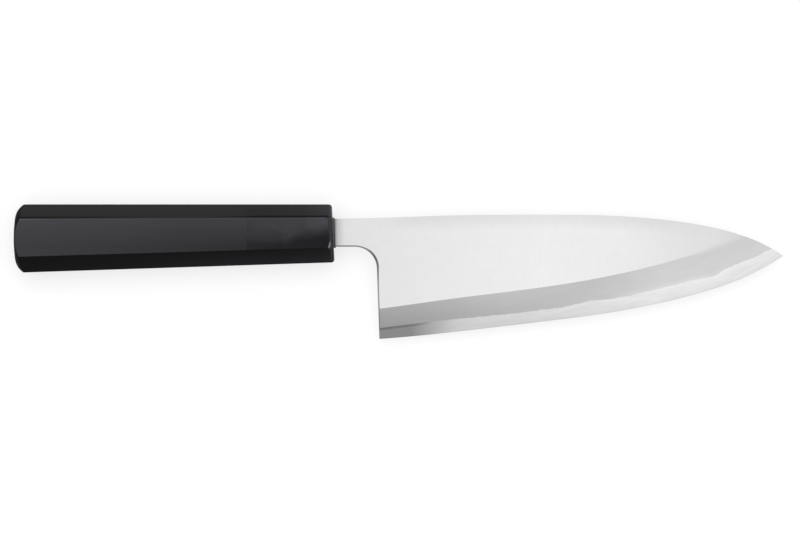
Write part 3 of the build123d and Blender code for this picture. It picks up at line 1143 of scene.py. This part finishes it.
@dataclass
class Handle:
    """The octagonal handle: wooden grip and horn ferrule, cut from one eased bar. Sizes in millimetres."""

    mouth_x: float = -26.25
    top_y: float = 27.46
    axis_z: float = 10.4
    length: float = 130.8
    front_height: float = 23.65
    front_thickness: float = 18.6
    front_upper_corner: float = 5.35
    front_lower_corner: float = 6.05
    butt_height: float = 27.9
    butt_thickness: float = 20.8
    butt_upper_corner: float = 5.9
    butt_lower_corner: float = 6.45
    lean: float = 2.6
    front_round: float = 1.3
    facet_ease: float = 0.4
    facet_turn: float = 45.0
    ferrule_length: float = 35.7
    crown: float = 1.8
    shoulder: float = 7.3
    margin: float = 0.3
    overrun: float = 5.0
    near: float = 0.05
    end_reach: float = 3.0
    lengthwise: float = 0.9
    crosswise: float = 0.5
    ease_steps: int = 8
    crown_steps: int = 24
    shoulder_steps: int = 32
    turn_steps: int = 256
    smooth_degrees: float = 28.0
    wood: Finish = field(default_factory=BlackWoodFinish)
    horn: Finish = field(default_factory=BlackHornFinish)

    def bar(self) -> Workpiece:
        """Models the eased octagonal bar that both pieces are cut from.

        Returns:
            The bar, longer than the handle at its rear end.
        """
        rear = self.mouth_x - self.length - self.overrun
        middle_y = self.top_y - self.front_height / 2
        low = (rear, self.top_y - self.front_height, self.axis_z - self.front_thickness / 2)
        high = (self.mouth_x, self.top_y, self.axis_z + self.front_thickness / 2)
        bar = Workpiece.block("handle_bar", low, high)
        for corner, side in ((self.front_upper_corner, 1), (self.front_lower_corner, -1)):
            with bar.editing(Pick.EDGE):
                bar.choose(lambda middle, way: self._runs_along(way) and (middle.y - middle_y) * side > 0)
                bpy.ops.mesh.bevel(offset=corner * MM, offset_type="OFFSET", segments=1, affect="EDGES")
        self._taper(bar, rear)
        self._lean_front(bar)
        with bar.editing(Pick.EDGE):
            bar.choose(lambda middle, way: self._runs_along(way))
            bar.weigh(self.facet_ease * tan(radians(self.facet_turn / 2)) / self.front_round)
            bar.choose(lambda middle, way: abs(way.x) < self.crosswise and self._at_front(middle))
            bar.weigh(1.0)
        bar.finish_with("BEVEL", width=self.front_round * MM, limit_method="WEIGHT", segments=self.ease_steps,
                        use_clamp_overlap=False)
        return bar

    def _runs_along(self, way: Vector) -> bool:
        """Whether an edge of the bar runs along it."""
        return abs(way.x) > self.lengthwise

    def _at_front(self, middle: Vector) -> bool:
        """Whether a place in millimetres is at the bar's front end."""
        return middle.x > self.mouth_x - self.end_reach

    def _grown(self, front: float, butt: float) -> float:
        """A size at the bar's rear end, past the butt, from its sizes at the front and the butt."""
        return front + (butt - front) * (self.length + self.overrun) / self.length

    def _taper(self, bar: Workpiece, rear: float) -> None:
        """Swells the bar's rear end, one row of points at a time.

        Args:
            bar: Octagonal bar that is as thick all along.
            rear: X of its rear end.
        """
        height = self._grown(self.front_height, self.butt_height)
        thick = self._grown(self.front_thickness, self.butt_thickness)
        upper = self._grown(self.front_upper_corner, self.butt_upper_corner)
        lower = self._grown(self.front_lower_corner, self.butt_lower_corner)
        half, swell = self.front_thickness / 2, thick / self.front_thickness
        rows = (
            (0.0, 0.0, (thick / 2 - upper) / (half - self.front_upper_corner)),
            (self.front_upper_corner, upper, swell),
            (self.front_height - self.front_lower_corner, height - lower, swell),
            (self.front_height, height, (thick / 2 - lower) / (half - self.front_lower_corner)),
        )
        with bar.editing(Pick.POINT):
            for old, new, ratio in reversed(rows):
                y = self.top_y - old
                bar.choose(lambda point, way: not self._at_front(point) and abs(point.y - y) < self.near)
                centre = (rear * MM, y * MM, self.axis_z * MM)
                bpy.ops.transform.resize(value=(1, 1, ratio), center_override=centre)
                bpy.ops.transform.translate(value=(0, (old - new) * MM, 0))

    def _lean_front(self, bar: Workpiece) -> None:
        """Leans the bar's front back towards the spine.

        Args:
            bar: Octagonal bar with a square front.
        """
        height, slope = self.front_height, tan(radians(self.lean))
        with bar.editing(Pick.POINT):
            for rise in (self.front_lower_corner, height - self.front_upper_corner, height):
                y = self.top_y - height + rise
                bar.choose(lambda point, way: self._at_front(point) and abs(point.y - y) < self.near)
                bpy.ops.transform.translate(value=(-slope * rise * MM, 0, 0))

    def _dome(self) -> Workpiece:
        """Turned tool that rounds the butt: a low crown with a round shoulder.

        Returns:
            The tool, as long as the handle and a little more.
        """
        corner = min(self.butt_upper_corner, self.butt_lower_corner)
        reach = hypot(self.butt_height / 2, self.butt_thickness / 2 - corner) + self.margin
        crown_radius = (reach**2 + self.crown**2) / (2 * self.crown)
        butt = self.mouth_x - self.length
        radius, centre_r = self.shoulder, reach - self.shoulder
        crown_x = butt + crown_radius
        centre_x = crown_x - sqrt((crown_radius - radius) ** 2 - centre_r**2)
        crown_end = crown_radius * centre_r / (crown_radius - radius)
        profile = []
        for i in range(self.crown_steps + 1):
            r = crown_end * i / self.crown_steps
            profile.append((crown_x - sqrt(crown_radius**2 - r**2), r))
        begin = atan2(profile[-1][1] - centre_r, profile[-1][0] - centre_x)
        for i in range(1, self.shoulder_steps + 1):
            angle = begin + (pi / 2 - begin) * i / self.shoulder_steps
            profile.append((centre_x + radius * cos(angle), centre_r + radius * sin(angle)))
        profile.append((self.mouth_x + self.overrun, reach))
        profile.append((self.mouth_x + self.overrun, 0.0))
        middle_y = self.top_y - self.butt_height / 2
        return Workpiece.turned("butt_dome", profile, middle_y, self.axis_z, self.turn_steps)

    def build(self) -> list[bpy.types.Object]:
        """Builds grip and ferrule and dresses them.

        Returns:
            Both pieces.
        """
        bar = self.bar()
        ferrule = self._part(bar, "horn_ferrule", clear_inner=True)
        grip = self._part(bar, "wooden_grip", clear_outer=True)
        bpy.data.objects.remove(bar.shape, do_unlink=True)
        grip.carve(self._dome(), "INTERSECT")
        inside = ("tang_bedding", "core_dowel")
        for piece, held in ((ferrule, ("mouth_seal", *inside)), (grip, inside)):
            for name in held:
                piece.carve(Workpiece.filled(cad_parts[name]))
            piece.smooth(self.smooth_degrees)
        self._hand_over(ferrule, "ferrule", Slot.HORN, self.horn)
        self._hand_over(grip, "handle_body", Slot.WOOD, self.wood)
        return [ferrule.shape, grip.shape]

    def _part(self, bar: Workpiece, name: str, **cleared: bool) -> Workpiece:
        """Copies the bar and cuts the copy at the seam of ferrule and grip.

        Args:
            bar: The whole bar.
            name: Name of the copy.
            cleared: Side that is cut away, as the bisect tool names it.

        Returns:
            The cut copy.
        """
        seam = (self.mouth_x - self.ferrule_length) * MM
        piece = bar.copy(name)
        with piece.editing(Pick.POINT):
            bpy.ops.mesh.select_all(action="SELECT")
            bpy.ops.mesh.bisect(plane_co=(seam, 0, 0), plane_no=(1, 0, 0), use_fill=True, **cleared)
        return piece

    @staticmethod
    def _hand_over(piece: Workpiece, node: str, slot: Slot, finish: Finish) -> None:
        """Dresses a piece and lets it stand for its node.

        Args:
            piece: The finished piece.
            node: Node of the frame that it replaces.
            slot: Its material slot; not used.
            finish: Its finish.
        """
        finish.dress(piece.shape)
        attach(piece.shape, BODY)
        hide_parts(node)


@dataclass
class Blade:
    """The forged blade. Both metals keep their solids and get their grinding here. Sizes in millimetres."""

    heel_x: float = -7.9
    tip_x: float = 156.9
    steps: int = 27
    back_z: float = 7.1
    edge_height: float = 0.07
    spine_height: float = 2.2
    outside: float = 60.0

    def build(self) -> list[bpy.types.Object]:
        """Dresses both metals.

        Returns:
            Both pieces.
        """
        iron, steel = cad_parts["blade_iron"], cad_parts["blade_steel"]
        spine = self._line(iron, -1, self.spine_height)
        edge = self._line(steel, 1, self.edge_height)
        IronFinish(spine=spine, edge=edge).dress(iron)
        SteelFinish(spine=spine, edge=edge).dress(steel)
        return [iron, steel]

    def _line(self, piece: bpy.types.Object, way: int, height: float) -> Rows:
        """Reads one outline of the blade off a piece, with level rays across it.

        Args:
            piece: Piece that the rays meet.
            way: 1 for rays towards the spine, -1 for rays towards the edge.
            height: Height of the rays above the blade's back.

        Returns:
            X and Y of the outline from heel to tip.
        """
        rows = []
        for i in range(self.steps + 1):
            x = self.heel_x + (self.tip_x - self.heel_x) * i / self.steps
            start = Vector((x, -way * self.outside, self.back_z + height)) * MM
            hit, place, _, _ = piece.ray_cast(start, (0, way, 0))
            if hit:
                rows.append((x, place.y / MM))
        return tuple(rows)


@dataclass
class Joinery:
    """What joins blade and handle: dowel, bedding and the bead at the mouth."""

    dowel: Finish = field(default_factory=PaleWoodFinish)
    bedding: Finish = field(default_factory=ResinFinish)
    bead: Finish = field(default_factory=SealerFinish)

    def build(self) -> list[bpy.types.Object]:
        """Dresses the three pieces.

        Returns:
            The pieces.
        """
        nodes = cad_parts
        pairs = (("core_dowel", self.dowel), ("tang_bedding", self.bedding), ("mouth_seal", self.bead))
        for name, finish in pairs:
            finish.dress(nodes[name])
        return [nodes[name] for name, _ in pairs]


@dataclass
class Studio:
    """Pale table, wide soft lamps, white surroundings and the camera over the knife. Sizes in metres."""

    aim_x: float = 0.000457
    aim_y: float = 0.002149
    aim_z: float = 0.012
    distance: float = 2.5
    frame_width: float = 0.32617
    sensor: float = 36.0
    table_size: float = 400.0
    table_shade: float = 0.3
    table_lift: float = 0.69
    ambient: float = 0.5
    softbox_place: tuple = (-0.05, 0.1, 1.2)
    softbox_spread: float = 62.0
    softbox_strength: float = 1.8
    fill_place: tuple = (0.05, 0.75, 0.8)
    fill_spread: float = 45.0
    fill_strength: float = 0.35
    clip_start: float = 0.05
    clip_end: float = 100.0

    def build(self) -> None:
        """Sets up table, surroundings, lamps, camera and colour handling."""
        self._table()
        self._surroundings()
        self._lamp("overhead_softbox", self.softbox_place, self.softbox_spread, self.softbox_strength)
        self._lamp("spine_side_fill", self.fill_place, self.fill_spread, self.fill_strength)
        self._camera()
        bpy.context.scene.view_settings.view_transform = "Standard"

    def _table(self) -> None:
        """Adds the plain pale table."""
        bpy.ops.object.select_all(action="DESELECT")
        bpy.ops.mesh.primitive_plane_add(size=self.table_size, location=(0, 0, 0))
        table = bpy.context.object
        table.name = "pale_table"
        material = bpy.data.materials.new("pale_table_top")
        material.use_nodes = True
        graph = Graph(material.node_tree)
        diffuse = graph.add("ShaderNodeBsdfDiffuse", {}, {"Color": (self.table_shade,) * 3 + (1.0,)})
        lift = graph.add("ShaderNodeEmission", {}, {"Strength": self._seen(graph) * self.table_lift})
        both = graph.add("ShaderNodeAddShader", {}, {0: diffuse, 1: lift})
        graph.add("ShaderNodeOutputMaterial", {}, {0: both})
        table.data.materials.append(material)

    @staticmethod
    def _seen(graph: Graph) -> Wire:
        """1 for what the camera sees straight, mirrored or through glass.

        Args:
            graph: Node tree to build in.

        Returns:
            1 on such rays and 0 on light that falls on a surface.
        """
        node = graph.add("ShaderNodeLightPath", {}, {}).socket.node
        names = ("Is Camera Ray", "Is Glossy Ray", "Is Transmission Ray")
        straight, mirrored, through = (Wire(graph, node.outputs[name]) for name in names)
        return (straight + mirrored + through).clamp()

    def _surroundings(self) -> None:
        """White all round for the eye and for metal, and a low even light."""
        world = bpy.data.worlds.new("white_room")
        world.use_nodes = True
        bpy.context.scene.world = world
        graph = Graph(world.node_tree)
        strength = self.ambient + (1.0 - self.ambient) * self._seen(graph)
        sky = graph.add("ShaderNodeBackground", {}, {"Color": (1.0, 1.0, 1.0, 1.0), "Strength": strength})
        graph.add("ShaderNodeOutputWorld", {}, {0: sky})

    @staticmethod
    def _lamp(name: str, place: Sequence[float], spread: float, strength: float) -> None:
        """Adds a far, wide, soft lamp that lights the whole table alike.

        Args:
            name: Name of the lamp.
            place: Where it stands, seen from the knife.
            spread: Its width, in degrees as seen from the knife.
            strength: Its strength.
        """
        bpy.ops.object.select_all(action="DESELECT")
        bpy.ops.object.light_add(type="SUN", location=place)
        lamp = bpy.context.object
        lamp.name = name
        lamp.data.angle = radians(spread)
        lamp.data.energy = strength
        lamp.rotation_euler = (-Vector(place)).to_track_quat("-Z", "Y").to_euler()
        lamp.visible_glossy = False

    def _camera(self) -> None:
        """Adds the camera, straight above, with a long lens."""
        place = (self.aim_x, self.aim_y, self.aim_z + self.distance)
        bpy.ops.object.camera_add(location=place, rotation=(0, 0, 0))
        camera = bpy.context.object
        camera.name = "overhead_camera"
        camera.data.sensor_width = self.sensor
        camera.data.lens = self.sensor * self.distance / self.frame_width
        camera.data.clip_start = self.clip_start
        camera.data.clip_end = self.clip_end
        bpy.context.scene.camera = camera


def main() -> None:
    """Builds the studio and every part of the knife."""
    logging.basicConfig(level=logging.INFO, format="%(message)s")
    Studio().build()
    for assembly in (Handle(), Blade(), Joinery()):
        for piece in assembly.build():
            log.info("%s: %s, %d faces", type(assembly).__name__, piece.name, len(piece.data.polygons))


if __name__ == "__main__":
    main()
